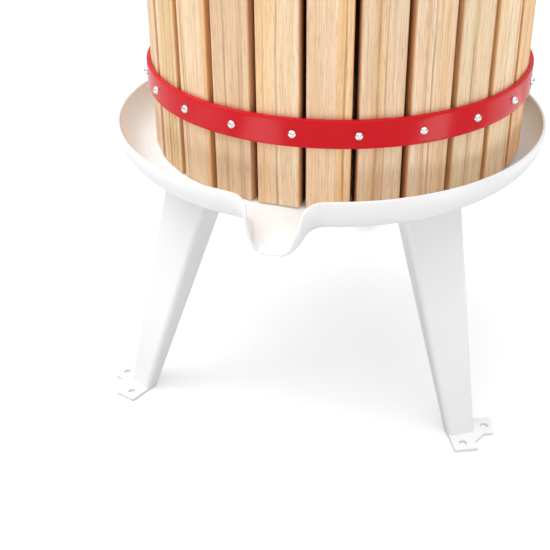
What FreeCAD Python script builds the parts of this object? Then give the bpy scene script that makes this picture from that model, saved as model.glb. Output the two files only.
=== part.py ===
import FreeCAD, Part
import math, os

os.makedirs("parts", exist_ok=True)
V = FreeCAD.Vector

# ---------------------------------------------------------------- dimensions (mm)
# +Z up, floor at Z = 0, pouring spout towards -Y.
AXIS_Y = -24.37           # the spindle axis stands here, so the origin is the middle of the footprint

# slatted basket; it stands loose on the tray, a little off the spindle's axis
BASKET_X, BASKET_Y = 4.56, 3.24
HOOP_R = 125.0            # outer radius of both hoops
HOOP_T = 3.0              # hoop thickness
HOOP_H = 16.9             # hoop height
HOOP_LOW_Z = 203.9        # underside of the lower hoop
BASKET_Z0 = 164.4         # underside of the staves, on the tray's raised middle
BASKET_H = 300.0          # stave length
BASKET_Z1 = BASKET_Z0 + BASKET_H
HOOP_UP_Z = BASKET_Z1 - (HOOP_LOW_Z - BASKET_Z0) - HOOP_H
STAVE_N = 26
STAVE_W = 25.5
STAVE_T = 13.0
STAVE_OUT = 121.4         # flat outer face of a stave to the basket's axis
STAVE_IN = STAVE_OUT - STAVE_T
STAVE_R = 1.2             # eased long edges
STAVE_C = 0.6             # chamfered ends
GAP_AZ = -73.85           # one gap between staves, degrees from +X
RIVET_N = 21
RIVET_AZ_LOW = -72.98     # one rivet of the lower hoop
RIVET_AZ_UP = RIVET_AZ_LOW + 8.65
RIVET_DROP = 0.3          # rivets sit this much under the hoop's middle
RIVET_R = 1.5
RIVET_HEAD_R = 2.6
RIVET_HEAD_H = 2.3
SEAT_R = 110.4            # distance of the flat washer seats from the basket's axis
BURR_R = 6.5
BURR_T = 1.0

# tray
TRAY_T = 2.0
RIM_R = 141.65
RIM_Z = 180.5
PAN_Z = 157.5             # underside of the outer channel
PLATEAU_R = 117.5         # the raised middle is flat out to here
WALL = [                  # outer skin of the tray's wall, distance from the axis and Z
    (124.5, 157.5), (128.4, 158.15), (131.8, 159.75), (135.0, 162.15), (138.2, 165.6),
    (140.5, 169.3), (141.8, 173.2), (142.15, 177.0), (141.65, 180.5),
]
SPOUT = [                 # distance from the axis, top half width, top Z, underside half width, underside Z
    (121.0, 28.6, 183.0, 17.6, 157.6),
    (131.0, 27.6, 182.2, 16.6, 157.3),
    (138.0, 25.2, 180.9, 15.4, 156.6),
    (143.0, 21.4, 179.9, 14.0, 155.5),
    (147.0, 18.2, 177.6, 12.6, 154.2),
    (150.0, 16.7, 173.4, 11.1, 152.7),
    (152.3, 15.2, 167.0, 9.6, 151.2),
    (154.0, 11.6, 158.6, 7.8, 149.9),
]

# legs: one folded sheet each, a U with a flat top flange and a flat foot
LEG_T = 2.0
LEG_BEND = 3.2            # outer bend radius
LEG_NORMAL = 27.9         # web faces this far from the spout direction
LEG_TOP = (78.05, -64.85) # middle of the web at the tray
LEG_FOOT = (113.29, -100.79)
LEG_TOP_HALF = 20.1
LEG_FOOT_HALF = 9.0
LEG_TOP_OUT, LEG_FOOT_OUT = 24.0, 14.0     # side flange depths
LEG_TOP_IN, LEG_FOOT_IN = 22.5, 8.5
LEG_BOLTS = (35.0, 57.0)  # inward from the web
LEG_FLANGE = 70.0         # length of the top flange
REAR_TURN = 135.57        # the rear leg is the right leg turned by this
REAR_FOOT_Y = 187.0
FOOT_HOLE_R = 2.5
FOOT_A = (-2.7, -7.8)     # hole in the front tab: across the web, inward from the web
FOOT_B = (17.4, 5.3)

# screw
SPINDLE_R = 12.0
ROOT_R = 9.4
LEAD = 6.0
THREAD_Z0 = 344.0
THREAD_Z1 = 644.0         # 50 whole turns
SPINDLE_TOP = 650.0
STUD_R = 10.0

# pressing set at rest
PLATE_Z = 434.0
PLATE_R = 101.5
PLATE_T = 22.0
BLOCK_H = 42.0
BLOCK_W = 40.0
BLOCK_L = 166.0
THRUST_R = 62.0
THRUST_T = 8.0
NUT_Z = PLATE_Z + PLATE_T + 2 * BLOCK_H + THRUST_T + 3.0
ROD_R = 7.0
ROD_Z = NUT_Z + 53.0

Z = V(0, 0, 1)


def rad(a):
    return math.radians(a)


def put(name, shape, of_basket=False):
    """Write one sub-part. It is built about its own axis, and moved so that the footprint's middle is the origin."""
    s = shape.copy()
    s.translate(V(BASKET_X, AXIS_Y + BASKET_Y, 0) if of_basket else V(0, AXIS_Y, 0))
    s.exportStep("parts/%s.step" % name)


def cyl(r, z0, z1, x=0.0, y=0.0):
    return Part.makeCylinder(r, z1 - z0, V(x, y, z0))


def ring(r1, r0, z0, z1, x=0.0, y=0.0):
    return cyl(r1, z0, z1, x, y).cut(cyl(r0, z0 - 1, z1 + 1, x, y))


def radial_cyl(r, a, z, d0, d1):
    d = V(math.cos(rad(a)), math.sin(rad(a)), 0)
    return Part.makeCylinder(r, d1 - d0, d * d0 + V(0, 0, z), d)


def revolve(pts):
    """Closed profile in the XZ plane turned about the axis. pts are (r, z)."""
    w = Part.makePolygon([V(r, 0, z) for r, z in pts] + [V(pts[0][0], 0, pts[0][1])])
    return Part.Face(w).revolve(V(0, 0, 0), Z, 360)


def hexagon(af, z0, z1, x=0.0, y=0.0):
    r = af / math.sqrt(3.0)
    pts = [V(x + r * math.cos(rad(60 * i)), y + r * math.sin(rad(60 * i)), z0) for i in range(7)]
    h = Part.Face(Part.makePolygon(pts)).extrude(V(0, 0, z1 - z0))
    # turned corners of the hexagon
    cap = Part.makeCone(af / 2 + (z1 - z0) * 1.9, af / 2 * 0.96, z1 - z0, V(x, y, z0))
    cap2 = Part.makeCone(af / 2 * 0.96, af / 2 + (z1 - z0) * 1.9, z1 - z0, V(x, y, z0))
    return h.common(cap).common(cap2)


# ---------------------------------------------------------------- tray
def smooth(pts, t0=None, t1=None):
    """Smooth curve through (r, z) points, with end directions where they are given."""
    b = Part.BSplineCurve()
    p = [V(r, 0, z) for r, z in pts]
    if t0 is None:
        b.interpolate(p)
    else:
        b.interpolate(Points=p, InitialTangent=V(t0[0], 0, t0[1]), FinalTangent=V(t1[0], 0, t1[1]))
    return b.toShape()


def inset(pts, d):
    """The wall's profile moved d towards the inside."""
    out = []
    for i, (r, z) in enumerate(pts):
        a, b = pts[max(i - 1, 0)], pts[min(i + 1, len(pts) - 1)]
        tr, tz = b[0] - a[0], b[1] - a[1]
        n = math.hypot(tr, tz)
        if i == 0:
            tr, tz, n = 1.0, 0.0, 1.0
        out.append((r - d * tz / n, z + d * tr / n))
    return out


def bowl(off, top):
    """Bowl as a filled solid: off is the distance inward from the outer skin."""
    zb = PAN_Z + off
    zp = BASKET_Z0 - TRAY_T + off
    wall = inset(WALL, off)
    wall[-1] = (wall[-1][0], RIM_Z)
    r0 = PLATEAU_R - 1.5 + off * 0.5
    edges = [Part.makeLine(V(0, 0, zp), V(r0, 0, zp)),
             smooth([(r0, zp), (r0 + 2.6, zp - 1.9), (r0 + 5.2, zb)], (1, 0), (1, 0)),
             Part.makeLine(V(r0 + 5.2, 0, zb), V(wall[0][0], 0, zb)),
             smooth(wall, (1, 0), (-0.12, 1.0)),
             Part.makeLine(V(wall[-1][0], 0, RIM_Z), V(wall[-1][0], 0, top)) if top > RIM_Z else None,
             Part.makeLine(V(wall[-1][0], 0, top), V(0, 0, top)),
             Part.makeLine(V(0, 0, top), V(0, 0, zp))]
    return Part.Face(Part.Wire([e for e in edges if e is not None])).revolve(V(0, 0, 0), Z, 360)


def chute(off, lift, ext):
    """Spout as a filled solid; off shrinks it, lift raises its open top, ext runs it past the tip."""
    secs = list(SPOUT)
    if ext:
        b = SPOUT[-1]
        secs.append((b[0] + ext * 0.4, b[1] - 1.4, b[2] - 2.4, b[3] - 0.8, b[4] - 1.1))
        secs.append((b[0] + ext, b[1] - 1.8, b[2] - 3.0, b[3] - 1.0, b[4] - 1.7))
    wires = []
    for s, wt, zt, wb, zb in secs:
        h = zt - zb
        side = (wt - wb) / h
        z0 = zb + off
        w0 = wb - off * 0.45
        w1 = wt - off * 1.12 + side * lift
        z1 = zt + lift
        pts = [(w1, z1), (w0 + (w1 - w0) * 0.5, z0 + (z1 - z0) * 0.52), (w0 + (w1 - w0) * 0.12, z0 + (z1 - z0) * 0.17),
               (w0 * 0.62, z0 + (z1 - z0) * 0.025), (0.0, z0)]
        full = pts + [(-x, z) for x, z in reversed(pts[:-1])]
        dx, dz = pts[1][0] - pts[0][0], pts[1][1] - pts[0][1]
        n = math.hypot(dx, dz)
        b = Part.BSplineCurve()
        b.interpolate(Points=[V(x, -s, z) for x, z in full], InitialTangent=V(dx / n, 0, dz / n), FinalTangent=V(dx / n, 0, -dz / n))
        wires.append(Part.Wire([b.toShape(), Part.makeLine(V(full[-1][0], -s, full[-1][1]), V(full[0][0], -s, full[0][1]))]))
    return Part.makeLoft(wires, True, False)


def make_tray():
    outer = bowl(0.0, RIM_Z)
    inner = bowl(TRAY_T, RIM_Z + 12.0)
    so = chute(0.0, 0.0, 0.0)
    # the spout's own walls stop at the rim plane
    so = so.common(Part.makeBox(80, 60, RIM_Z - 120.0, V(-40, -170, 120.0)))
    si = chute(TRAY_T, 14.0, 9.0)
    tray = outer.fuse(so).cut(inner).cut(si)
    tray = tray.cut(cyl(STUD_R + 0.2, 140, 190))
    for x, y in leg_bolt_points():
        tray = tray.cut(cyl(4.25, 140, 190, x, y))
    return tray


# ---------------------------------------------------------------- legs
def leg_frame():
    n = V(math.sin(rad(LEG_NORMAL)), -math.cos(rad(LEG_NORMAL)), 0)   # out of the web
    u = V(math.cos(rad(LEG_NORMAL)), math.sin(rad(LEG_NORMAL)), 0)    # along the web, away from the spout
    return u, n


def leg_point(mid, a, b, z):
    u, n = leg_frame()
    return V(mid[0], mid[1], z) + u * a - n * b


def u_section(mid, half, d_out, d_in, z):
    t, ro = LEG_T, LEG_BEND
    ri = ro - t
    q = math.sqrt(0.5)

    def P(a, b):
        return leg_point(mid, a, b, z)

    def arc(p1, pm, p2):
        return Part.Arc(P(*p1), P(*pm), P(*p2)).toShape()

    def line(p1, p2):
        return Part.makeLine(P(*p1), P(*p2))
    h = half
    e = [line((-h, d_in), (-h, ro)),
         arc((-h, ro), (-h + ro - ro * q, ro - ro * q), (-h + ro, 0)),
         line((-h + ro, 0), (h - ro, 0)),
         arc((h - ro, 0), (h - ro + ro * q, ro - ro * q), (h, ro)),
         line((h, ro), (h, d_out)),
         line((h, d_out), (h - t, d_out)),
         line((h - t, d_out), (h - t, ro)),
         arc((h - t, ro), (h - ro + ri * q, ro - ri * q), (h - ro, t)),
         line((h - ro, t), (-h + ro, t)),
         arc((-h + ro, t), (-h + ro - ri * q, ro - ri * q), (-h + t, ro)),
         line((-h + t, ro), (-h + t, d_in)),
         line((-h + t, d_in), (-h, d_in))]
    return Part.Wire(e)


def plate(mid, pts, z0, z1):
    p = [leg_point(mid, a, b, z0) for a, b in pts]
    return Part.Face(Part.makePolygon(p + [p[0]])).extrude(V(0, 0, z1 - z0))


def round_upright(s, r, keep):
    """Round the upright edges that keep() picks."""
    es = []
    for e in s.Edges:
        if len(e.Vertexes) == 2:
            a, b = e.Vertexes[0].Point, e.Vertexes[1].Point
            if abs(a.x - b.x) < 1e-6 and abs(a.y - b.y) < 1e-6 and keep(a):
                es.append(e)
    try:
        return s.makeFillet(r, es)
    except Exception:
        return s


def make_leg():
    top = u_section(LEG_TOP, LEG_TOP_HALF, LEG_TOP_OUT, LEG_TOP_IN, PAN_Z)
    foot = u_section(LEG_FOOT, LEG_FOOT_HALF, LEG_FOOT_OUT, LEG_FOOT_IN, 0.0)
    leg = Part.makeLoft([foot, top], True, True)
    h = LEG_TOP_HALF
    flange = plate(LEG_TOP, [(-h + 1.8, 0.3), (h - 1.8, 0.3), (h, 2.0), (h, LEG_TOP_OUT), (13.0, LEG_FLANGE), (-13.0, LEG_FLANGE),
                             (-h, LEG_TOP_IN), (-h, 2.0)], PAN_Z - LEG_T, PAN_Z)
    flange = round_upright(flange, 5.0, lambda p: (p - leg_point(LEG_TOP, 13.0, LEG_FLANGE, p.z)).Length < 0.1
                           or (p - leg_point(LEG_TOP, -13.0, LEG_FLANGE, p.z)).Length < 0.1)
    f = LEG_FOOT_HALF
    # flat foot: a front tab under the web and a side tab, with a V notch between them
    tab = [(-f, LEG_T), (-f, 0.5), (-f - 1.4, -13.6), (f - 4.0, -15.4), (f - 3.4, -8.7), (f + 5.2, -2.4), (f + 11.4, -3.4),
           (f + 16.0, 12.2), (f + 6.0, 13.8), (f - LEG_T, 14.0), (f - LEG_T, LEG_T)]
    foot_plate = plate(LEG_FOOT, tab, 0.0, LEG_T)
    corners = [(-f - 1.4, -13.6), (f - 4.0, -15.4), (f + 11.4, -3.4), (f + 16.0, 12.2), (f + 5.2, -2.4)]
    foot_plate = round_upright(foot_plate, 1.4, lambda p: any((p - leg_point(LEG_FOOT, a, b, p.z)).Length < 0.1 for a, b in corners))
    leg = leg.fuse(flange).fuse(foot_plate)
    for a, b in (FOOT_A, FOOT_B):
        p = leg_point(LEG_FOOT, a, b, 0)
        leg = leg.cut(cyl(FOOT_HOLE_R, -1, 8, p.x, p.y))
    for b in LEG_BOLTS:
        p = leg_point(LEG_TOP, 0, b, 0)
        leg = leg.cut(cyl(4.25, 140, 170, p.x, p.y))
    return leg.removeSplitter()


def rear_matrix():
    """The rear leg is the right leg turned to face backwards."""
    m = FreeCAD.Matrix()
    m.rotateZ(rad(REAR_TURN))
    p = m.multVec(leg_point(LEG_FOOT, 0, 0, 0))
    m2 = FreeCAD.Matrix()
    m2.move(V(-p.x, REAR_FOOT_Y - p.y, 0))
    return m2.multiply(m)


def leg_bolt_points():
    pts = []
    for b in LEG_BOLTS:
        p = leg_point(LEG_TOP, 0, b, 0)
        q = rear_matrix().multVec(p)
        pts += [(p.x, p.y), (-p.x, p.y), (q.x, q.y)]
    return pts


def mirror_x(s):
    return s.mirror(V(0, 0, 0), V(1, 0, 0))


def turned(s, m):
    return s.transformed(m)


# ---------------------------------------------------------------- spindle support under the tray
def make_support():
    z0, z1 = PAN_Z, BASKET_Z0 - TRAY_T
    hub = cyl(46.0, z0, z1)
    arm = plate(LEG_TOP, [(-16.5, 4.0), (16.5, 4.0), (20.0, 74.0), (-20.0, 74.0)], z0, z1)
    body = hub.fuse(arm).fuse(mirror_x(arm)).fuse(turned(arm, rear_matrix()))
    # webs that tie the arms into the hub
    p = leg_point(LEG_TOP, 0, 60, 0)
    a = math.degrees(math.atan2(p.y, p.x))
    for ang in (a, 180.0 - a):
        b = Part.makeBox(math.hypot(p.x, p.y), 36, z1 - z0, V(0, -18, z0))
        b.rotate(V(0, 0, 0), Z, ang)
        body = body.fuse(b)
    b = Part.makeBox(36, 70, z1 - z0, V(-18, 0, z0))
    body = body.fuse(b)
    body = body.common(cyl(108.5, z0, z1))
    body = body.cut(cyl(STUD_R + 0.2, z0 - 1, z1 + 1))
    for x, y in leg_bolt_points():
        body = body.cut(cyl(4.25, z0 - 1, z1 + 1, x, y))
    return body.removeSplitter()


# ---------------------------------------------------------------- basket
def rivet_angles(first):
    return [first + 360.0 / RIVET_N * k for k in range(RIVET_N)]


def diff(a, b):
    return (a - b + 180.0) % 360.0 - 180.0


def make_stave(i):
    a = GAP_AZ + (i + 0.5) * 360.0 / STAVE_N
    s = Part.makeBox(STAVE_T, STAVE_W, BASKET_H, V(STAVE_IN, -STAVE_W / 2, BASKET_Z0))
    s = s.makeFillet(STAVE_R, [e for e in s.Edges if abs(e.Vertexes[0].Point.z - e.Vertexes[1].Point.z) > 1])
    s = s.makeChamfer(STAVE_C, [e for e in s.Edges if abs(e.Vertexes[0].Point.z - e.Vertexes[1].Point.z) < 1e-6])
    s.rotate(V(0, 0, 0), Z, a)
    for first, z in ((RIVET_AZ_LOW, HOOP_LOW_Z), (RIVET_AZ_UP, HOOP_UP_Z)):
        zc = z + HOOP_H / 2 - RIVET_DROP
        for b in rivet_angles(first):
            if abs(diff(a, b)) < 12.0:
                s = s.cut(radial_cyl(RIVET_R + 0.1, b, zc, 100.0, 130.0))
                s = s.cut(radial_cyl(BURR_R + 0.15, b, zc, 100.0, SEAT_R))
    return s


def make_hoop(z, first):
    h = ring(HOOP_R, HOOP_R - HOOP_T, z, z + HOOP_H)
    outer = [e for e in h.Edges if hasattr(e.Curve, "Radius") and abs(e.Curve.Radius - HOOP_R) < 1e-6]
    h = h.makeFillet(0.8, outer)
    for b in rivet_angles(first):
        h = h.cut(radial_cyl(RIVET_R + 0.1, b, z + HOOP_H / 2 - RIVET_DROP, 118.0, 130.0))
    return h


def make_rivets(z, first):
    out = []
    zc = z + HOOP_H / 2 - RIVET_DROP
    for b in rivet_angles(first):
        # domed head outside, shank through hoop, stave and burr, clenched tail inside
        rr = (RIVET_HEAD_R ** 2 + RIVET_HEAD_H ** 2) / (2 * RIVET_HEAD_H)
        d = V(math.cos(rad(b)), math.sin(rad(b)), 0)
        ball = Part.makeSphere(rr, d * (HOOP_R + RIVET_HEAD_H - rr) + V(0, 0, zc))
        head = ball.common(radial_cyl(RIVET_HEAD_R + 1, b, zc, HOOP_R, HOOP_R + 5))
        shank = radial_cyl(RIVET_R, b, zc, SEAT_R - BURR_T - 0.9, HOOP_R + 0.2)
        tail = radial_cyl(2.4, b, zc, SEAT_R - BURR_T - 0.9, SEAT_R - BURR_T)
        out.append(head.fuse(shank).fuse(tail))
    return Part.makeCompound(out)


def make_burrs(z, first):
    out = []
    zc = z + HOOP_H / 2 - RIVET_DROP
    for b in rivet_angles(first):
        w = radial_cyl(BURR_R, b, zc, SEAT_R - BURR_T, SEAT_R)
        out.append(w.cut(radial_cyl(RIVET_R + 0.1, b, zc, 100, 130)))
    return Part.makeCompound(out)


# ---------------------------------------------------------------- screw
def make_spindle():
    low = revolve([(0, 132.0), (STUD_R - 1.2, 132.0), (STUD_R, 133.2), (STUD_R, BASKET_Z0 + 1.0), (22.0, BASKET_Z0 + 1.0),
                   (22.0, 173.4), (20.5, 175.4), (SPINDLE_R, 175.4), (SPINDLE_R, 339.0), (ROOT_R, 341.6), (0, 341.6)])
    core = cyl(ROOT_R, 341.6, SPINDLE_TOP - 2.0)
    top = Part.makeCone(ROOT_R, ROOT_R - 2.0, 2.0, V(0, 0, SPINDLE_TOP - 2.0))
    for s in (low, core, top):
        s.rotate(V(0, 0, 0), Z, 90)
    # trapezoidal thread: a ridge of ten turns, repeated end to end
    rin = ROOT_R - 0.3
    h = Part.makeHelix(LEAD, LEAD * 10, rin)
    h.translate(V(0, 0, THREAD_Z0))
    k = (SPINDLE_R - rin) * 0.3
    hw = 1.0
    pts = [V(rin, 0, THREAD_Z0 - hw - k), V(SPINDLE_R, 0, THREAD_Z0 - hw), V(SPINDLE_R, 0, THREAD_Z0 + hw), V(rin, 0, THREAD_Z0 + hw + k)]
    w = Part.makePolygon(pts + [pts[0]])
    ps = Part.BRepOffsetAPI.MakePipeShell(Part.Wire(h))
    ps.setFrenetMode(True)
    ps.add(w)
    ps.build()
    ps.makeSolid()
    ridge = ps.shape()
    for i in range(int(round((THREAD_Z1 - THREAD_Z0) / (LEAD * 10)))):
        c = ridge.copy()
        c.translate(V(0, 0, LEAD * 10 * i))
        core = core.fuse(c)
    return core.fuse([low, top]).removeSplitter()


def make_nut_hub():
    z = NUT_Z
    body = revolve([(0, z), (33.0, z), (34.5, z + 1.5), (34.5, z + 7.5), (33.0, z + 9.0), (28.0, z + 11.0), (24.5, z + 17.0), (23.0, z + 26.0),
                    (23.0, z + 66.0), (21.5, z + 69.5), (18.0, z + 72.0), (0, z + 72.0)])
    for s in (1, -1):
        boss = Part.makeCone(15.5, 13.0, 30.0, V(s * 16.0, 0, ROD_Z), V(s, 0, 0))
        body = body.fuse(boss)
        wedge = Part.Face(Part.makePolygon([V(s * 14, -3.5, z + 6), V(s * 32, -3.5, z + 6), V(s * 43, -3.5, ROD_Z - 8), V(s * 14, -3.5, ROD_Z - 8),
                                            V(s * 14, -3.5, z + 6)])).extrude(V(0, 7, 0))
        body = body.fuse(wedge)
    body = body.cut(cyl(SPINDLE_R + 0.25, z - 1, z + 80))
    for s in (1, -1):
        body = body.cut(Part.makeCylinder(ROD_R + 0.05, 60.0, V(s * 15.5, 0, ROD_Z), V(s, 0, 0)))
    return body


def make_rod(s):
    rod = revolve([(0, 0), (ROD_R - 1.2, 0), (ROD_R, 1.2), (ROD_R, 185.0), (ROD_R - 2.0, 187.0), (0, 187.0)])
    rod.rotate(V(0, 0, 0), V(0, 1, 0), 90 * s)
    rod.translate(V(s * 15.5, 0, ROD_Z))
    return rod


def make_grip(s):
    # swelling grip with a flat collar end and a rounded cap
    side = smooth([(15.5, 6.0), (14.4, 26.0), (14.8, 52.0), (16.6, 76.0), (15.6, 88.0), (11.0, 96.5), (0, 100.0)], (0, 1), (-1, 0))
    nose = smooth([(12.5, 0), (14.9, 1.8), (15.5, 6.0)], (1, 0), (0, 1))
    w = Part.Wire([Part.makeLine(V(0, 0, 0), V(12.5, 0, 0)), nose, side, Part.makeLine(V(0, 0, 100.0), V(0, 0, 0))])
    g = Part.Face(w).revolve(V(0, 0, 0), Z, 360)
    g = g.cut(Part.makeCylinder(ROD_R + 0.05, 86.0, V(0, 0, -2)))
    g.rotate(V(0, 0, 0), V(0, 1, 0), 90 * s)
    g.translate(V(s * 118.5, 0, ROD_Z))
    return g


# ---------------------------------------------------------------- pressing set
def block(cx, cy, lx, ly, z):
    b = Part.makeBox(lx, ly, BLOCK_H, V(cx - lx / 2, cy - ly / 2, z))
    return b.makeChamfer(1.5, b.Edges)


def make_half_plate(s):
    p = cyl(PLATE_R, PLATE_Z, PLATE_Z + PLATE_T)
    p = p.makeChamfer(1.5, [e for e in p.Edges if hasattr(e.Curve, "Radius")])
    p = p.cut(Part.makeBox(220, 240, 60, V(-220.5 + 1.0 if s > 0 else -0.5, -120, PLATE_Z - 10)))
    return p.cut(cyl(15.0, PLATE_Z - 1, PLATE_Z + 60))


# ---------------------------------------------------------------- write every piece
put("tray", make_tray())
leg = make_leg()
put("leg_front_right", leg)
put("leg_front_left", mirror_x(leg))
put("leg_rear", turned(leg, rear_matrix()))
put("spindle_support", make_support())

bolts, washers, nuts = [], [], []
for x, y in leg_bolt_points():
    dome = Part.makeSphere(9.4, V(x, y, BASKET_Z0 + 4.4 - 9.4)).common(cyl(8.0, BASKET_Z0, BASKET_Z0 + 6, x, y))
    bolts.append(dome.fuse(cyl(4.0, 143.6, BASKET_Z0 + 0.5, x, y)))
    washers.append(ring(8.5, 4.2, PAN_Z - LEG_T - 1.6, PAN_Z - LEG_T, x, y))
    nuts.append(hexagon(13.0, PAN_Z - LEG_T - 8.4, PAN_Z - LEG_T - 1.6, x, y).cut(cyl(4.05, 130, 170, x, y)))
put("leg_bolts", Part.makeCompound(bolts))
put("leg_washers", Part.makeCompound(washers))
put("leg_nuts", Part.makeCompound(nuts))

put("spindle", make_spindle())
put("spindle_seal", ring(22.0, 10.3, BASKET_Z0, BASKET_Z0 + 1.0))
put("spindle_washer", ring(19.0, 10.3, PAN_Z - 3.0, PAN_Z))
put("spindle_lock_nut", hexagon(30.0, PAN_Z - 19.0, PAN_Z - 3.0).cut(cyl(STUD_R + 0.05, 120, 170)))

for i in range(STAVE_N):
    put("stave_%02d" % (i + 1), make_stave(i), True)
put("hoop_lower", make_hoop(HOOP_LOW_Z, RIVET_AZ_LOW), True)
put("hoop_upper", make_hoop(HOOP_UP_Z, RIVET_AZ_UP), True)
put("hoop_rivets_lower", make_rivets(HOOP_LOW_Z, RIVET_AZ_LOW), True)
put("hoop_rivets_upper", make_rivets(HOOP_UP_Z, RIVET_AZ_UP), True)
put("rivet_washers_lower", make_burrs(HOOP_LOW_Z, RIVET_AZ_LOW), True)
put("rivet_washers_upper", make_burrs(HOOP_UP_Z, RIVET_AZ_UP), True)

put("press_plate_right", make_half_plate(1))
put("press_plate_left", make_half_plate(-1))
zb = PLATE_Z + PLATE_T
put("pressing_block_lower_front", block(0, -40.0, BLOCK_L, BLOCK_W, zb))
put("pressing_block_lower_rear", block(0, 40.0, BLOCK_L, BLOCK_W, zb))
put("pressing_block_upper_left", block(-36.0, 0, BLOCK_W, BLOCK_L, zb + BLOCK_H))
put("pressing_block_upper_right", block(36.0, 0, BLOCK_W, BLOCK_L, zb + BLOCK_H))
zt = zb + 2 * BLOCK_H
tp = ring(THRUST_R, 14.0, zt, zt + THRUST_T)
put("thrust_plate", tp)
put("thrust_washer", ring(27.0, 13.0, zt + THRUST_T, zt + THRUST_T + 3.0))
put("press_nut", make_nut_hub())
put("handle_rod_right", make_rod(1))
put("handle_rod_left", make_rod(-1))
put("handle_grip_right", make_grip(1))
put("handle_grip_left", make_grip(-1))
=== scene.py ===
import bpy
import math
import random
import numpy as np
from mathutils import Matrix, Vector


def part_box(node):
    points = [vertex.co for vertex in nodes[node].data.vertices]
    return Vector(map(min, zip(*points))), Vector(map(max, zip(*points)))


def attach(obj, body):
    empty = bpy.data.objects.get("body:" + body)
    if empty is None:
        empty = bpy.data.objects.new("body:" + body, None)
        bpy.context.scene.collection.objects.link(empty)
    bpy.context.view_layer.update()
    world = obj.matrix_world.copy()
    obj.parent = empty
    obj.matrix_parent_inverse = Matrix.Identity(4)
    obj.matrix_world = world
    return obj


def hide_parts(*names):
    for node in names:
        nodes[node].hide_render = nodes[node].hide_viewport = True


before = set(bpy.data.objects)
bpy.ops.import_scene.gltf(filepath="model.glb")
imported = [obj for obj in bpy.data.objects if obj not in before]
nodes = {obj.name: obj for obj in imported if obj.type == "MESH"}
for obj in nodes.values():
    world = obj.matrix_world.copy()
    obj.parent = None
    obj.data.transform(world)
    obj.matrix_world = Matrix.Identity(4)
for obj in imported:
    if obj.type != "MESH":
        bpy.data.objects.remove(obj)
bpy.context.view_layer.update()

AXIS_Y = -0.02437          # spindle and tray axis
BASKET = (0.00456, AXIS_Y + 0.00324)   # the basket stands a little off that axis
random.seed(12)

# ---------------------------------------------------------------- camera
cam_data = bpy.data.cameras.new("camera")
cam_data.sensor_width = 36.0
cam_data.sensor_fit = "HORIZONTAL"
cam_data.lens = 67.2532
cam_data.clip_start = 0.01
cam = bpy.data.objects.new("camera", cam_data)
bpy.context.scene.collection.objects.link(cam)
right = Vector((0.967116, 0.254083, -0.011348)).normalized()
up = Vector((-0.120904, 0.498537, 0.858395)).normalized()
back = right.cross(up).normalized()
up = back.cross(right).normalized()
loc = Vector((0.132611, -0.637582 + AXIS_Y, 0.43816))
cam.matrix_world = Matrix(((right.x, up.x, back.x, loc.x), (right.y, up.y, back.y, loc.y), (right.z, up.z, back.z, loc.z), (0, 0, 0, 1)))
bpy.context.scene.camera = cam


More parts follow.
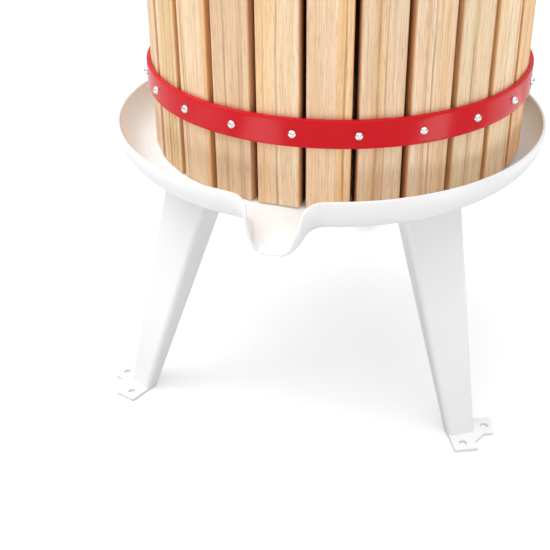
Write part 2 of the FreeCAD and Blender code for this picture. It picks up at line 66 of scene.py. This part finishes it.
# ---------------------------------------------------------------- node helpers
class Mat:
    """A small builder for procedural materials."""

    def __init__(self, name):
        self.m = bpy.data.materials.new(name)
        self.m.use_nodes = True
        self.nt = self.m.node_tree
        self.nt.nodes.clear()
        self.out = self.nt.nodes.new("ShaderNodeOutputMaterial")
        self.b = self.nt.nodes.new("ShaderNodeBsdfPrincipled")
        self.nt.links.new(self.b.outputs[0], self.out.inputs[0])
        self.tc = self.nt.nodes.new("ShaderNodeTexCoord")

    def node(self, kind, **props):
        n = self.nt.nodes.new(kind)
        for k, v in props.items():
            setattr(n, k, v)
        return n

    def link(self, a, b):
        self.nt.links.new(a, b)

    def mapping(self, scale=(1, 1, 1), loc=(0, 0, 0), rot=(0, 0, 0), src=None):
        n = self.node("ShaderNodeMapping")
        n.inputs["Scale"].default_value = scale
        n.inputs["Location"].default_value = loc
        n.inputs["Rotation"].default_value = rot
        self.link(src or self.tc.outputs["Object"], n.inputs["Vector"])
        return n.outputs[0]

    def noise(self, vec, scale, detail=4.0, rough=0.5, distortion=0.0):
        n = self.node("ShaderNodeTexNoise")
        n.inputs["Scale"].default_value = scale
        n.inputs["Detail"].default_value = detail
        n.inputs["Roughness"].default_value = rough
        n.inputs["Distortion"].default_value = distortion
        self.link(vec, n.inputs["Vector"])
        return n.outputs["Fac"]

    def ramp(self, fac, stops, mode="LINEAR"):
        n = self.node("ShaderNodeValToRGB")
        n.color_ramp.interpolation = mode
        el = n.color_ramp.elements
        while len(el) < len(stops):
            el.new(0.5)
        for e, (p, c) in zip(el, stops):
            e.position = p
            e.color = c if len(c) == 4 else (*c, 1.0)
        self.link(fac, n.inputs[0])
        return n.outputs[0]

    def gray(self, fac, a, b, lo=0.0, hi=1.0):
        n = self.node("ShaderNodeMapRange")
        n.inputs["From Min"].default_value = a
        n.inputs["From Max"].default_value = b
        n.inputs["To Min"].default_value = lo
        n.inputs["To Max"].default_value = hi
        self.link(fac, n.inputs["Value"])
        return n.outputs[0]

    def mix(self, fac, a, b, blend="MIX"):
        n = self.node("ShaderNodeMix", data_type="RGBA", blend_type=blend)
        for sock, v in ((n.inputs[0], fac), (n.inputs[6], a), (n.inputs[7], b)):
            if hasattr(v, "is_linked"):
                self.link(v, sock)
            elif isinstance(v, (int, float)):
                sock.default_value = v
            else:
                sock.default_value = v if len(v) == 4 else (*v, 1.0)
        return n.outputs[2]

    def math(self, op, a, b=0.0, clamp=False):
        n = self.node("ShaderNodeMath", operation=op, use_clamp=clamp)
        for sock, v in ((n.inputs[0], a), (n.inputs[1], b)):
            if hasattr(v, "is_linked"):
                self.link(v, sock)
            else:
                sock.default_value = v
        return n.outputs[0]

    def bump(self, height, strength, distance, normal=None):
        n = self.node("ShaderNodeBump")
        n.inputs["Strength"].default_value = strength
        n.inputs["Distance"].default_value = distance
        self.link(height, n.inputs["Height"])
        if normal is not None:
            self.link(normal, n.inputs["Normal"])
        return n.outputs[0]

    def set(self, **kw):
        names = dict(color="Base Color", rough="Roughness", metal="Metallic", spec="Specular IOR Level", coat="Coat Weight",
                     coat_rough="Coat Roughness", ior="IOR", aniso="Anisotropic", normal="Normal", sub="Subsurface Weight",
                     sub_scale="Subsurface Scale", sheen="Sheen Weight")
        for k, v in kw.items():
            s = self.b.inputs[names[k]]
            if hasattr(v, "is_linked"):
                self.link(v, s)
            elif isinstance(v, (int, float)):
                s.default_value = v
            else:
                s.default_value = v if len(v) == 4 else (*v, 1.0)


def srgb(r, g, b):
    def f(c):
        c /= 255.0
        return c / 12.92 if c <= 0.04045 else ((c + 0.055) / 1.055) ** 2.4
    return (f(r), f(g), f(b))


def assign(names, mat):
    for n in names:
        o = nodes[n]
        o.data.materials.clear()
        o.data.materials.append(mat)


# ---------------------------------------------------------------- mesh helpers
def monotone(xs, ys):
    """Monotone cubic through (xs, ys), flat beyond its ends."""
    xs, ys = np.array(xs, float), np.array(ys, float)
    h, d = np.diff(xs), np.diff(ys) / np.diff(xs)
    m = np.zeros(len(xs))
    for k in range(1, len(xs) - 1):
        if d[k - 1] * d[k] > 0:
            w1, w2 = 2 * h[k] + h[k - 1], h[k] + 2 * h[k - 1]
            m[k] = (w1 + w2) / (w1 / d[k - 1] + w2 / d[k])
    m[0], m[-1] = (d[0] if len(xs) > 2 and xs[0] != 0 else 0.0), 0.0

    def f(x):
        x = np.clip(np.asarray(x, float), xs[0], xs[-1])
        k = np.clip(np.searchsorted(xs, x, side="right") - 1, 0, len(h) - 1)
        t = (x - xs[k]) / h[k]
        return ((1 + 2 * t) * (1 - t) ** 2 * ys[k] + t * (1 - t) ** 2 * h[k] * m[k]
                + t * t * (3 - 2 * t) * ys[k + 1] + t * t * (t - 1) * h[k] * m[k + 1])
    return f


def mesh_object(name, verts, faces, body, slot, mat, *replaced):
    me = bpy.data.meshes.new(name)
    me.from_pydata([tuple(v) for v in verts], [], [tuple(f) for f in faces])
    me.validate()
    for poly in me.polygons:
        poly.use_smooth = True
    o = bpy.data.objects.new(name, me)
    bpy.context.scene.collection.objects.link(o)
    o.data.materials.append(mat)
    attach(o, body)
    if replaced:
        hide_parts(*replaced)
    return o


def sharpen(o, degrees):
    """Edges sharper than this stay crisp, the rest shade smooth."""
    me = o.data
    me.set_sharp_from_angle(angle=math.radians(degrees))


# ---------------------------------------------------------------- tray: one pressed sheet with the spout drawn out of its wall
FOOT = monotone([0, 2.0, 2.8, 3.2, 3.7, 4.41, 5.09, 5.81, 6.41, 7.45, 9.0, 11.0],
                [146.0, 146.6, 149.4, 150.6, 150.6, 148.4, 145.4, 141.6, 137.2, 130.2, 125.8, 124.5])
EDGE_R = monotone([0, 2.0, 2.8, 3.2, 3.5, 4.0, 4.46, 5.23, 6.03, 6.39, 6.67, 7.58, 8.7, 10.2, 12.5],
                  [153.0, 153.0, 153.0, 153.1, 153.5, 154.1, 154.1, 153.6, 152.3, 150.9, 149.2, 146.3, 144.1, 142.3, 141.65])
EDGE_Z = monotone([0, 2.0, 2.8, 3.2, 3.5, 4.0, 4.46, 5.23, 6.03, 6.39, 6.67, 7.58, 8.7, 10.2, 12.5],
                  [149.9, 150.0, 150.7, 152.2, 154.5, 157.5, 160.0, 165.0, 170.5, 173.5, 176.0, 178.9, 180.0, 180.4, 180.5])
FLOOR = monotone([121.2, 124.5, 130.0, 138.0, 143.0, 147.0, 150.0, 152.3, 154.2],
                 [157.5, 157.5, 157.2, 156.4, 155.2, 153.9, 152.6, 151.0, 149.4])
WALL = np.array([(0.0, 0.0), (0.10, 0.004), (0.228, 0.028), (0.33, 0.062), (0.426, 0.098), (0.52, 0.146), (0.612, 0.202), (0.71, 0.274),
                 (0.799, 0.352), (0.88, 0.445), (0.933, 0.513), (0.978, 0.605), (1.009, 0.683), (1.024, 0.78), (1.029, 0.848), (1.018, 0.93), (1.0, 1.0)])


def tray_profile(phi):
    """Outer skin of the sheet at phi degrees from the spout's middle: points (r, z) in millimetres from the bore to the edge."""
    phi = abs(phi)
    rf, re, ze = float(FOOT(phi)), float(EDGE_R(phi)), float(EDGE_Z(phi))
    pts = [(r, 162.4) for r in np.linspace(10.2, 115.4, 9)]
    for t in np.linspace(0.0, 1.0, 11)[1:]:
        k = t * t * (3 - 2 * t)
        pts.append((115.4 + 5.8 * t, 162.4 - 4.9 * k))
    for r in np.linspace(121.2, rf, 14)[1:]:
        pts.append((r, float(FLOOR(r))))
    w = min(max((phi - 2.3) / 1.6, 0.0), 1.0)
    w = w * w * (3 - 2 * w)
    zf = float(FLOOR(rf))
    slope = (float(FLOOR(rf)) - float(FLOOR(rf - 0.5))) / 0.5
    dense = []
    for t in np.linspace(0.0, 1.0, 60):
        u = np.interp(t, np.linspace(0, 1, len(WALL)), WALL[:, 0])
        v = np.interp(t, np.linspace(0, 1, len(WALL)), WALL[:, 1])
        r1, z1 = rf + u * (re - rf), zf + slope * u * (re - rf) * (1 - v) ** 2 + v * (ze - zf)
        r0 = rf + t * (re - rf)
        z0 = float(FLOOR(r0))
        dense.append(((1 - w) * r0 + w * r1, (1 - w) * z0 + w * z1))
    dense = np.array(dense)
    # soften the polyline, then stop short of the edge to leave room for its rounding
    for _ in range(6):
        dense[1:-1] = 0.25 * dense[:-2] + 0.5 * dense[1:-1] + 0.25 * dense[2:]
    seg = np.r_[0, np.cumsum(np.hypot(*np.diff(dense, axis=0).T))]
    for d in np.linspace(0, seg[-1] - 0.9, 23)[1:]:
        pts.append((np.interp(d, seg, dense[:, 0]), np.interp(d, seg, dense[:, 1])))
    return np.array(pts)


def make_tray(mat):
    fine = np.concatenate([np.arange(-13.0, 13.001, 0.2)])
    rest = np.linspace(13.0, 347.0, 190)[1:-1]
    phis = np.concatenate([fine, rest])
    prof = np.array([tray_profile((p + 180.0) % 360.0 - 180.0) for p in phis])          # (columns, rows, 2)
    a = np.radians(phis)[:, None]
    outer = np.stack([prof[:, :, 0] * np.sin(a), -prof[:, :, 0] * np.cos(a), prof[:, :, 1]], axis=2)
    # inner skin: the same surface two millimetres in
    du = np.empty_like(outer)
    du[:, 1:-1] = outer[:, 2:] - outer[:, :-2]
    du[:, 0], du[:, -1] = outer[:, 1] - outer[:, 0], outer[:, -1] - outer[:, -2]
    dv = np.roll(outer, -1, axis=0) - np.roll(outer, 1, axis=0)
    nrm = np.cross(du, dv)
    nrm /= np.linalg.norm(nrm, axis=2, keepdims=True)
    nrm *= np.sign(nrm[:, 4:5, 2:3])                                                     # up, into the bowl
    for _ in range(3):
        nrm[:, 1:-1] = 0.25 * nrm[:, :-2] + 0.5 * nrm[:, 1:-1] + 0.25 * nrm[:, 2:]
        nrm = 0.25 * np.roll(nrm, 1, axis=0) + 0.5 * nrm + 0.25 * np.roll(nrm, -1, axis=0)
    nrm /= np.linalg.norm(nrm, axis=2, keepdims=True)
    inner = outer + 2.0 * nrm
    # rounded edge between the two skins
    po, pi = outer[:, -1], inner[:, -1]
    mid, half = (po + pi) / 2, (po - pi) / 2
    tan = outer[:, -1] - outer[:, -3]
    tan -= half * (np.sum(tan * half, axis=1, keepdims=True) / np.sum(half * half, axis=1, keepdims=True))
    tan /= np.linalg.norm(tan, axis=1, keepdims=True)
    rim = [mid + half * math.cos(t) + tan * 0.9 * math.sin(t) for t in np.linspace(0, math.pi, 8)[1:-1]]
    rows = [outer[:, k] for k in range(outer.shape[1])] + rim + [inner[:, k] for k in range(inner.shape[1] - 1, -1, -1)]
    grid = np.stack(rows, axis=1)
    n, m = grid.shape[:2]
    verts = grid.reshape(-1, 3) * 0.001 + np.array([0.0, AXIS_Y, 0.0])
    faces = []
    for i in range(n):
        j = (i + 1) % n
        for k in range(m):
            l = (k + 1) % m
            faces.append((i * m + k, i * m + l, j * m + l, j * m + k))
    o = mesh_object("tray_pressing", verts, faces, "frame", "white_coat", mat, "tray")
    fix_normals(o)
    sharpen(o, 50)
    return o


def fix_normals(o):
    import bmesh
    b = bmesh.new()
    b.from_mesh(o.data)
    bmesh.ops.recalc_face_normals(b, faces=b.faces)
    b.to_mesh(o.data)
    b.free()


# ---------------------------------------------------------------- hoops: bent flat bar with eased edges
def make_hoop(name, node, mat, seed):
    lo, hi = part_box(node)
    z0, z1 = lo.z * 1000, hi.z * 1000
    rng = np.random.RandomState(seed)
    prof = []
    for cx, cz, rr, a0 in ((125.0 - 0.8, z1 - 0.8, 0.8, 0), (122.0 + 0.35, z1 - 0.35, 0.35, 90), (122.0 + 0.35, z0 + 0.35, 0.35, 180),
                           (125.0 - 0.8, z0 + 0.8, 0.8, 270)):
        for t in np.linspace(a0, a0 + 90, 6):
            prof.append((cx + rr * math.cos(math.radians(t)), cz + rr * math.sin(math.radians(t))))
        if a0 == 270:
            for z in np.linspace(z0 + 0.8, z1 - 0.8, 7)[1:-1]:
                prof.append((125.0, z))
    prof = np.array(prof)
    n = 360
    amp, ph = rng.uniform(0.02, 0.05, 5), rng.uniform(0, 2 * math.pi, 5)
    verts, faces = [], []
    m = len(prof)
    for i in range(n):
        a = 2 * math.pi * i / n
        # a rolled bar is never perfectly round
        dr = sum(amp[k] * math.sin((k + 3) * a + ph[k]) for k in range(5)) - 0.12
        for r, z in prof:
            r2 = r + (dr if r > 122.6 else 0.0)
            verts.append((BASKET[0] + r2 * math.cos(a) * 0.001, BASKET[1] + r2 * math.sin(a) * 0.001, z * 0.001))
    for i in range(n):
        j = (i + 1) % n
        for k in range(m):
            l = (k + 1) % m
            faces.append((i * m + k, i * m + l, j * m + l, j * m + k))
    o = mesh_object(name, verts, faces, "basket", "red_coat", mat, node)
    fix_normals(o)
    sharpen(o, 60)
    return o


# ---------------------------------------------------------------- rivets: bright domed heads, shank and clenched tail
def make_rivets(name, node, first, mat, seed):
    lo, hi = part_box(node)
    zc = (lo.z + hi.z) / 2 * 1000
    rr = (2.6 ** 2 + 2.3 ** 2) / (2 * 2.3)
    prof = [(108.5, 0.0), (108.5, 1.5), (108.62, 2.1), (108.9, 2.36), (109.4, 2.4), (109.4, 1.5), (124.9, 1.5), (124.9, 2.5), (125.02, 2.58)]
    a0 = math.asin(min(1.0, 2.6 / rr))
    for t in np.linspace(0.0, 1.0, 12):
        a = a0 * (1 - t)
        prof.append((127.3 - rr + rr * math.cos(a), rr * math.sin(a)))
    prof = np.array(prof)
    rng = random.Random(seed)
    verts, faces = [], []
    n = 32
    for k in range(21):
        az = math.radians(first + 360.0 / 21 * k)
        d = np.array([math.cos(az), math.sin(az), 0.0])
        t = np.array([-d[1], d[0], 0.0])
        t_off, z_off = rng.uniform(-0.12, 0.12), rng.uniform(-0.12, 0.12)
        base = len(verts)
        ring_start = []
        for r, rad in prof:
            ring_start.append(len(verts))
            if rad < 1e-6 or rad < 0.02:
                verts.append(d * r + t * t_off + np.array([0, 0, zc + z_off]))
                continue
            for q in range(n):
                b = 2 * math.pi * q / n
                verts.append(d * r + t * (t_off + rad * math.cos(b)) + np.array([0, 0, zc + z_off + rad * math.sin(b)]))
        for i in range(len(prof) - 1):
            s0, s1 = ring_start[i], ring_start[i + 1]
            p0, p1 = prof[i][1] < 0.02, prof[i + 1][1] < 0.02
            for q in range(n):
                q2 = (q + 1) % n
                if p0:
                    faces.append((s0, s1 + q, s1 + q2))
                elif p1:
                    faces.append((s0 + q, s1, s0 + q2))
                else:
                    faces.append((s0 + q, s1 + q, s1 + q2, s0 + q2))
    verts = np.array(verts) * 0.001 + np.array([BASKET[0], BASKET[1], 0.0])
    o = mesh_object(name, verts, faces, "basket", "rivet_chrome", mat, node)
    fix_normals(o)
    sharpen(o, 45)
    return o


# ---------------------------------------------------------------- wood
def wood(name, seed, light, mid, dark, centre=(0.0, 0.0, 0.0), azimuth=0.0, lines=2, horizontal=None, half=None):
    """Straight-grained pale hardwood. In the board's own axes X is its depth, Y its width and Z its length: fine pores, soft growth bands,
    a stripe of another tone and one or two thin brown lines that run the whole length."""
    rng = random.Random(seed)
    m = Mat(name)
    sub0 = m.node("ShaderNodeVectorMath", operation="SUBTRACT")
    m.link(m.tc.outputs["Object"], sub0.inputs[0])
    sub0.inputs[1].default_value = centre
    rot = (0.0, 0.0, -azimuth)
    if horizontal == "x":
        rot = (0.0, math.radians(90), 0.0)
    elif horizontal == "y":
        rot = (math.radians(90), 0.0, 0.0)
    off = (rng.uniform(-5, 5), rng.uniform(-5, 5), rng.uniform(-5, 5))
    base = m.mapping(rot=rot, src=sub0.outputs[0])
    # slow waver of the grain along the board
    wav = m.node("ShaderNodeTexNoise")
    wav.inputs["Scale"].default_value = 1.0
    wav.inputs["Detail"].default_value = 2.0
    m.link(m.mapping(scale=(14, 14, 7.0), loc=off, src=base), wav.inputs["Vector"])
    sub = m.node("ShaderNodeVectorMath", operation="SUBTRACT")
    m.link(wav.outputs["Color"], sub.inputs[0])
    sub.inputs[1].default_value = (0.5, 0.5, 0.5)
    mul = m.node("ShaderNodeVectorMath", operation="MULTIPLY")
    m.link(sub.outputs[0], mul.inputs[0])
    mul.inputs[1].default_value = (0.0045, 0.0045, 0.0)
    add = m.node("ShaderNodeVectorMath", operation="ADD")
    m.link(base, add.inputs[0])
    m.link(mul.outputs[0], add.inputs[1])
    g = add.outputs[0]
    xyz = m.node("ShaderNodeSeparateXYZ")
    m.link(g, xyz.inputs[0])
    # broad growth bands, a few millimetres wide
    bands = m.noise(m.mapping(scale=(170, 170, 2.2), loc=off, src=g), 1.0, 3.0, 0.55)
    # fine lines under a millimetre, short pores, and a soft cloud of tone
    fine = m.noise(m.mapping(scale=(1500, 1500, 14.0), loc=(off[1], off[2], off[0]), src=g), 1.0, 4.0, 0.65)
    pores = m.noise(m.mapping(scale=(2000, 2000, 95.0), loc=(off[2], off[0], off[1]), src=g), 1.0, 2.0, 0.5)
    cloud = m.noise(m.mapping(scale=(26, 26, 6), loc=off, src=g), 1.0, 3.0, 0.5)
    c1 = m.ramp(bands, [(0.24, light), (0.56, mid), (0.95, dark)])
    # stripes of another tone across the width
    stripes = m.noise(m.mapping(scale=(60, 60, 0.5), loc=(off[2], off[1], off[0]), src=g), 1.0, 1.0, 0.4)
    warm = tuple(min(1.0, a * b) for a, b in zip(light, (1.0, 0.955, 0.84)))
    c1 = m.mix(m.math("MULTIPLY", m.gray(stripes, 0.46, 0.54), 0.55), c1, warm, "MULTIPLY")
    fl = m.gray(fine, 0.45, 0.58)
    c2 = m.mix(m.math("MULTIPLY", fl, 0.40), c1, tuple(x * y for x, y in zip(dark, (0.80, 0.72, 0.62))))
    pore = m.gray(pores, 0.56, 0.70)
    c3 = m.mix(m.math("MULTIPLY", pore, 0.40), c2, tuple(x * y for x, y in zip(dark, (0.58, 0.46, 0.36))))
    brown = tuple(x * y for x, y in zip(dark, (0.50, 0.36, 0.25)))
    c4, hline = c3, None
    span = (half or 0.0126) * 0.78
    for q in range(lines):
        y0 = rng.uniform(-span, span)
        w = rng.uniform(0.00016, 0.00042)
        along = m.noise(m.mapping(scale=(5, 5, 14), loc=(off[0] + q, off[1], off[2]), src=base), 1.0, 3.0, 0.6)
        dist = m.math("ABSOLUTE", m.math("SUBTRACT", xyz.outputs[1], y0))
        edge = m.gray(dist, w, w * 3.2, 1.0, 0.0)
        mask = m.math("MULTIPLY", edge, m.gray(along, 0.30, 0.62, 0.15, 1.0))
        strength = rng.uniform(0.35, 0.80)
        c4 = m.mix(m.math("MULTIPLY", mask, strength), c4, brown)
        hline = mask if hline is None else m.math("MAXIMUM", hline, mask)
    if half:
        # side faces: browner than the planed front, painted shade of the gaps between staves
        raw = m.node("ShaderNodeSeparateXYZ")
        m.link(base, raw.inputs[0])
        side = m.gray(m.math("ABSOLUTE", raw.outputs[1]), half - 0.0008, half - 0.0001)
        # painted shade, going near black from a few millimetres in, where the gaps turn dark
        depth = m.gray(raw.outputs[0], 0.1180, 0.1128)
        gap_shade = m.mix(depth, (0.88, 0.66, 0.48), (0.10, 0.05, 0.03))
        c4 = m.mix(side, c4, m.mix(1.0, c4, gap_shade, "MULTIPLY"))
        # painted shade on the inner face of each stave, inside the basket
        inner = m.gray(raw.outputs[0], 0.1098, 0.1092)
        c4 = m.mix(inner, c4, m.mix(1.0, c4, (0.62, 0.44, 0.30), "MULTIPLY"))
    tone = m.gray(cloud, 0.3, 0.7, 0.96, 1.04)
    hsv = m.node("ShaderNodeHueSaturation")
    hsv.inputs["Saturation"].default_value = rng.uniform(0.93, 1.04)
    hsv.inputs["Hue"].default_value = 0.5 + rng.uniform(-0.005, 0.004)
    m.link(tone, hsv.inputs["Value"])
    m.link(c4, hsv.inputs["Color"])
    rough = m.gray(fine, 0.3, 0.7, 0.52, 0.68)
    h = m.math("ADD", m.math("MULTIPLY", fl, -0.5), m.math("MULTIPLY", pore, -1.0))
    if hline is not None:
        h = m.math("ADD", h, m.math("MULTIPLY", hline, -0.8))
    bev = m.node("ShaderNodeBevel", samples=4)
    bev.inputs["Radius"].default_value = 0.0007
    m.set(color=hsv.outputs[0], rough=rough, spec=0.30, normal=m.bump(h, 0.40, 0.00022, bev.outputs[0]))
    return m.m


stave_names = sorted(n for n in nodes if n.startswith("stave_"))
L0, M0, D0 = srgb(250, 232, 203), srgb(244, 215, 177), srgb(227, 188, 142)
for i, n in enumerate(stave_names):
    rng = random.Random(100 + i)
    k = rng.uniform(0.95, 1.04)
    w = rng.uniform(-0.035, 0.035)
    tint = (k * (1 + w * 0.3), k, k * (1 - w))
    cols = [tuple(min(1.0, c * t) for c, t in zip(col, tint)) for col in (L0, M0, D0)]
    az = math.radians(-73.85 + (i + 0.5) * 360.0 / 26)
    assign([n], wood("stave_wood_%02d" % (i + 1), 300 + i, *cols, centre=(BASKET[0], BASKET[1], 0.0), azimuth=az,
                     lines=rng.choice((1, 2, 2, 3)), half=0.01275))

press_cols = (srgb(238, 210, 170), srgb(225, 190, 144), srgb(200, 157, 110))
assign(["press_plate_left"], wood("board_wood_left", 31, *press_cols, horizontal="x"))
assign(["press_plate_right"], wood("board_wood_right", 32, *press_cols, horizontal="x"))
for i, (n, d) in enumerate((("pressing_block_lower_front", "x"), ("pressing_block_lower_rear", "x"),
                            ("pressing_block_upper_left", "y"), ("pressing_block_upper_right", "y"))):
    assign([n], wood("block_wood_%d" % (i + 1), 40 + i, *press_cols, horizontal=d))


# ---------------------------------------------------------------- coated and bare metals
def white_coat():
    m = Mat("white_powder_coat")
    v = m.mapping()
    peel = m.noise(v, 620.0, 3.0, 0.55)
    soft = m.noise(v, 14.0, 3.0, 0.5)
    col = m.ramp(soft, [(0.3, (0.835, 0.835, 0.84)), (0.7, (0.86, 0.86, 0.865))])
    bev = m.node("ShaderNodeBevel", samples=4)
    bev.inputs["Radius"].default_value = 0.0006
    m.set(color=col, rough=m.gray(peel, 0.3, 0.7, 0.33, 0.42), spec=0.45, coat=0.15, coat_rough=0.20,
          normal=m.bump(peel, 0.05, 0.0002, bev.outputs[0]))
    return m.m


def red_enamel(name="red_enamel"):
    m = Mat(name)
    v = m.mapping()
    peel = m.noise(v, 520.0, 2.0, 0.5)
    soft = m.noise(v, 9.0, 2.0, 0.5)
    col = m.ramp(soft, [(0.3, (0.585, 0.0065, 0.012)), (0.7, (0.61, 0.0075, 0.014))])
    m.set(color=col, rough=m.gray(peel, 0.3, 0.7, 0.17, 0.20), spec=0.14, normal=m.bump(peel, 0.02, 0.00006))
    return m.m


def metal(name, light, dark, rough, bump=0.05, scale=900.0, stretch=(1, 1, 1), aniso=0.0):
    m = Mat(name)
    v = m.mapping(scale=stretch)
    brush = m.noise(v, scale, 3.0, 0.6)
    blotch = m.noise(m.mapping(), 60.0, 4.0, 0.6)
    col = m.mix(m.gray(blotch, 0.35, 0.7), light, dark)
    m.set(color=col, metal=1.0, rough=m.gray(brush, 0.3, 0.7, rough * 0.85, rough * 1.2), aniso=aniso,
          normal=m.bump(brush, bump, 0.0001))
    return m.m


def rubber(name, col, rough):
    m = Mat(name)
    v = m.mapping()
    grain = m.noise(v, 1400.0, 3.0, 0.6)
    soft = m.noise(v, 30.0, 2.0, 0.5)
    c = m.mix(m.gray(soft, 0.3, 0.7), col, tuple(x * 1.5 for x in col))
    m.set(color=c, rough=m.gray(grain, 0.3, 0.7, rough - 0.06, rough + 0.06), spec=0.4, normal=m.bump(grain, 0.25, 0.0002))
    return m.m


white = white_coat()
red = red_enamel()
chrome = metal("rivet_chrome_finish", srgb(240, 240, 240), srgb(230, 230, 232), 0.15, bump=0.01)
zinc = metal("zinc_plate", srgb(205, 208, 212), srgb(186, 190, 196), 0.32)
steel = metal("turned_steel", srgb(190, 190, 192), srgb(160, 160, 163), 0.30, stretch=(1, 1, 14))
bronze = metal("bronze_turned", srgb(205, 160, 90), srgb(178, 132, 70), 0.34)
black_rubber = rubber("seal_rubber_black", (0.02, 0.02, 0.02), 0.62)
grip = rubber("grip_black", (0.018, 0.018, 0.019), 0.42)

make_tray(white)
make_hoop("hoop_lower_bar", "hoop_lower", red, 5)
make_hoop("hoop_upper_bar", "hoop_upper", red, 6)
make_rivets("rivets_lower_domed", "hoop_rivets_lower", -72.98, chrome, 7)
make_rivets("rivets_upper_domed", "hoop_rivets_upper", -72.98 + 8.65, chrome, 8)

assign(["leg_front_left", "leg_front_right", "leg_rear", "spindle_support"], white)
assign(["press_nut"], red)
assign(["leg_bolts", "leg_washers", "leg_nuts", "spindle_washer", "spindle_lock_nut", "rivet_washers_lower", "rivet_washers_upper", "thrust_plate"], zinc)
assign(["spindle", "handle_rod_left", "handle_rod_right"], steel)
assign(["thrust_washer"], bronze)
assign(["spindle_seal"], black_rubber)
assign(["handle_grip_left", "handle_grip_right"], grip)

# ---------------------------------------------------------------- floor and light
bpy.ops.mesh.primitive_plane_add(size=9.0, location=(0, 0, 0))
floor = bpy.context.object
floor.name = "studio_floor"
fm = Mat("floor_white")
fn = fm.noise(fm.mapping(), 3.0, 2.0, 0.5)
fm.set(color=fm.ramp(fn, [(0.3, (0.60, 0.60, 0.60)), (0.7, (0.62, 0.62, 0.62))]), rough=0.7, spec=0.1)
fm.b.inputs["Emission Color"].default_value = (1.0, 1.0, 1.0, 1.0)
# lit through from below, as a light table is: the lens sees it white, while little of that reaches the press
path = fm.node("ShaderNodeLightPath")
fm.link(fm.gray(path.outputs["Is Camera Ray"], 0.0, 1.0, 0.02, 0.40), fm.b.inputs["Emission Strength"])
floor.data.materials.append(fm.m)

world = bpy.data.worlds.new("studio")
bpy.context.scene.world = world
world.use_nodes = True
wt = world.node_tree
bg = wt.nodes["Background"]
# a white tent, with the dark opening that the lens looks through
tc = wt.nodes.new("ShaderNodeTexCoord")
dot = wt.nodes.new("ShaderNodeVectorMath")
dot.operation = "DOT_PRODUCT"
dot.inputs[1].default_value = (back.x, back.y, back.z)
wt.links.new(tc.outputs["Generated"], dot.inputs[0])
opening = wt.nodes.new("ShaderNodeMapRange")
opening.inputs["From Min"].default_value = 0.93
opening.inputs["From Max"].default_value = 0.975
opening.inputs["To Min"].default_value = 1.0
opening.inputs["To Max"].default_value = 0.03
wt.links.new(dot.outputs["Value"], opening.inputs["Value"])
sep = wt.nodes.new("ShaderNodeSeparateXYZ")
wt.links.new(tc.outputs["Generated"], sep.inputs[0])
dome = wt.nodes.new("ShaderNodeMapRange")
dome.inputs["From Min"].default_value = 0.0
dome.inputs["From Max"].default_value = 1.0
dome.inputs["To Min"].default_value = 0.38
dome.inputs["To Max"].default_value = 2.15
square = wt.nodes.new("ShaderNodeMath")
square.operation = "MULTIPLY"
wt.links.new(sep.outputs[2], square.inputs[0])
wt.links.new(sep.outputs[2], square.inputs[1])
wt.links.new(square.outputs[0], dome.inputs["Value"])
lens = wt.nodes.new("ShaderNodeLightPath")
gloss = wt.nodes.new("ShaderNodeMath")
gloss.operation = "MULTIPLY"
gloss.inputs[1].default_value = 0.55
wt.links.new(lens.outputs["Is Glossy Ray"], gloss.inputs[0])
lifted = wt.nodes.new("ShaderNodeMath")
lifted.operation = "MAXIMUM"
wt.links.new(dome.outputs[0], lifted.inputs[0])
wt.links.new(gloss.outputs[0], lifted.inputs[1])
both = wt.nodes.new("ShaderNodeMath")
both.operation = "MULTIPLY"
wt.links.new(opening.outputs[0], both.inputs[0])
wt.links.new(lifted.outputs[0], both.inputs[1])
seen = wt.nodes.new("ShaderNodeMath")
seen.operation = "MAXIMUM"
wt.links.new(lens.outputs["Is Camera Ray"], seen.inputs[0])
wt.links.new(both.outputs[0], seen.inputs[1])
wt.links.new(seen.outputs[0], bg.inputs[0])
bg.inputs[1].default_value = 1.0


def area(name, loc, target, size, energy, color=(1, 1, 1), seen=True):
    d = bpy.data.lights.new(name, "AREA")
    d.shape = "RECTANGLE"
    d.size, d.size_y = size
    d.energy = energy
    d.color = color
    o = bpy.data.objects.new(name, d)
    bpy.context.scene.collection.objects.link(o)
    o.location = loc
    o.rotation_euler = (Vector(target) - Vector(loc)).to_track_quat("-Z", "Y").to_euler()
    o.visible_camera = seen
    return o


def strip(name, point, heading, near, far, width, side, radiance):
    """A low lit strip just above the floor: its one long edge lies under the direction `heading` (degrees) from `point`."""
    h = math.radians(heading)
    u = Vector((math.cos(h), math.sin(h), 0.0))
    v = Vector((-u.y, u.x, 0.0)) * side
    c = Vector((point[0], point[1], 0.004)) + u * (near + far) / 2 + v * width / 2
    d = bpy.data.lights.new(name, "AREA")
    d.shape = "RECTANGLE"
    d.size, d.size_y = far - near, width
    d.energy = radiance * math.pi * (far - near) * width
    o = bpy.data.objects.new(name, d)
    bpy.context.scene.collection.objects.link(o)
    o.matrix_world = Matrix(((u.x, -v.x * side, 0, c.x), (u.y, -v.y * side, 0, c.y), (0, 0, -1, c.z), (0, 0, 0, 1)))
    o.visible_camera = False
    return o


area("key_upper_left", (-1.35, -0.15, 1.95), (0, 0, 0.15), (1.4, 1.4), 18.0)
area("front_fill", (0.9, -2.2, 1.2), (0, 0, 0.22), (1.6, 1.2), 8.5)
strip("strip_left_a", (-0.003, -0.144), -111.7, 0.32, 0.82, 0.20, -1, 3.8)
strip("strip_left_b", (-0.19, -0.22), -141.0, 0.20, 0.62, 0.24, -1, 0.9)
strip("strip_right", (0.0874, -0.1127), -11.7, 0.34, 0.80, 0.17, -1, 5.0)
strip("strip_right_b", (0.11, -0.085), 19.0, 0.34, 0.76, 0.36, 1, 1.0)

bpy.context.scene.view_settings.view_transform = "Standard"
bpy.context.scene.view_settings.look = "None"
bpy.context.scene.view_settings.exposure = 0.0
